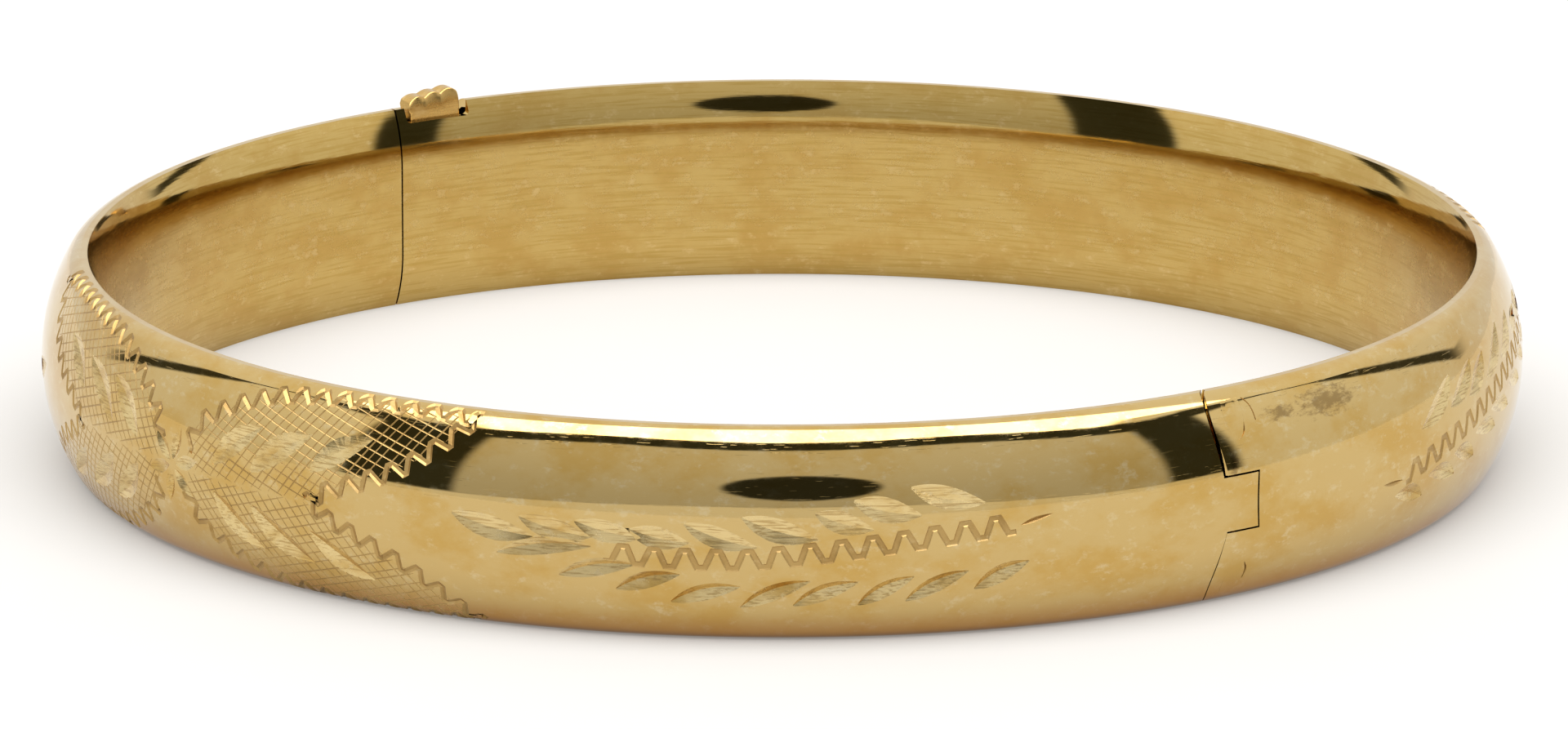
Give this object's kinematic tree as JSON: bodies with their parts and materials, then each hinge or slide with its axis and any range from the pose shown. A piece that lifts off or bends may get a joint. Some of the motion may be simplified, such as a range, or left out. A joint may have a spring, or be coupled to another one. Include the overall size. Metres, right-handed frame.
{
  "type": "hinged bangle bracelet",
  "caption": "Hollow round gold bangle with a domed, leaf-engraved band, opening on a flush side hinge and held by a spring tongue clasp with a small ribbed thumb piece.",
  "frame": {"origin": "centre of the band, at the height of the lower rim that it rests on", "axes": "+Z along the wrist, up through the opening and out of the rim with the thumb piece; hinge on +X, clasp on -X, front half towards -Y"},
  "size_m": [0.0638, 0.0638, 0.0096],
  "materials": {
    "polished_gold": "polished yellow gold with bright-cut engraving and fine wear scratches",
    "satin_gold": "satin yellow gold, brushed along the band",
    "hard_gold": "drawn hard gold wire and sheet, dull"
  },
  "bodies": {
    "front_half": {"front_outer_shell": "polished_gold", "front_inner_lining": "satin_gold", "front_hinge_block": "satin_gold", "centre_hinge_tube": "hard_gold", "front_clasp_plate": "satin_gold", "tongue_guide": "satin_gold"},
    "back_half": {"back_outer_shell": "polished_gold", "back_inner_lining": "satin_gold", "back_hinge_block": "satin_gold", "upper_hinge_tube": "hard_gold", "lower_hinge_tube": "hard_gold", "hinge_pin": "hard_gold", "upper_hinge_plug": "polished_gold", "lower_hinge_plug": "polished_gold", "back_clasp_plate": "satin_gold", "tongue_anchor": "satin_gold", "tongue_base_leaf": "hard_gold"},
    "catch": {"catch_leaf": "hard_gold", "thumb_piece": "polished_gold"}
  },
  "joints": [
    {"name": "side_hinge", "type": "hinge", "parent": "front_half", "child": "back_half", "pos_m": [0.03095, 0.00075, 0.0045], "axis": [0, 0, -1], "range_deg": [0, 65]},
    {"name": "catch_press", "type": "hinge", "parent": "back_half", "child": "catch", "pos_m": [-0.03005, -0.0055, 0.00555], "axis": [-1, 0, 0], "range_deg": [0, 3], "stiffness_Nm_per_rad": 0.2, "springref_deg": -1.15}
  ]
}
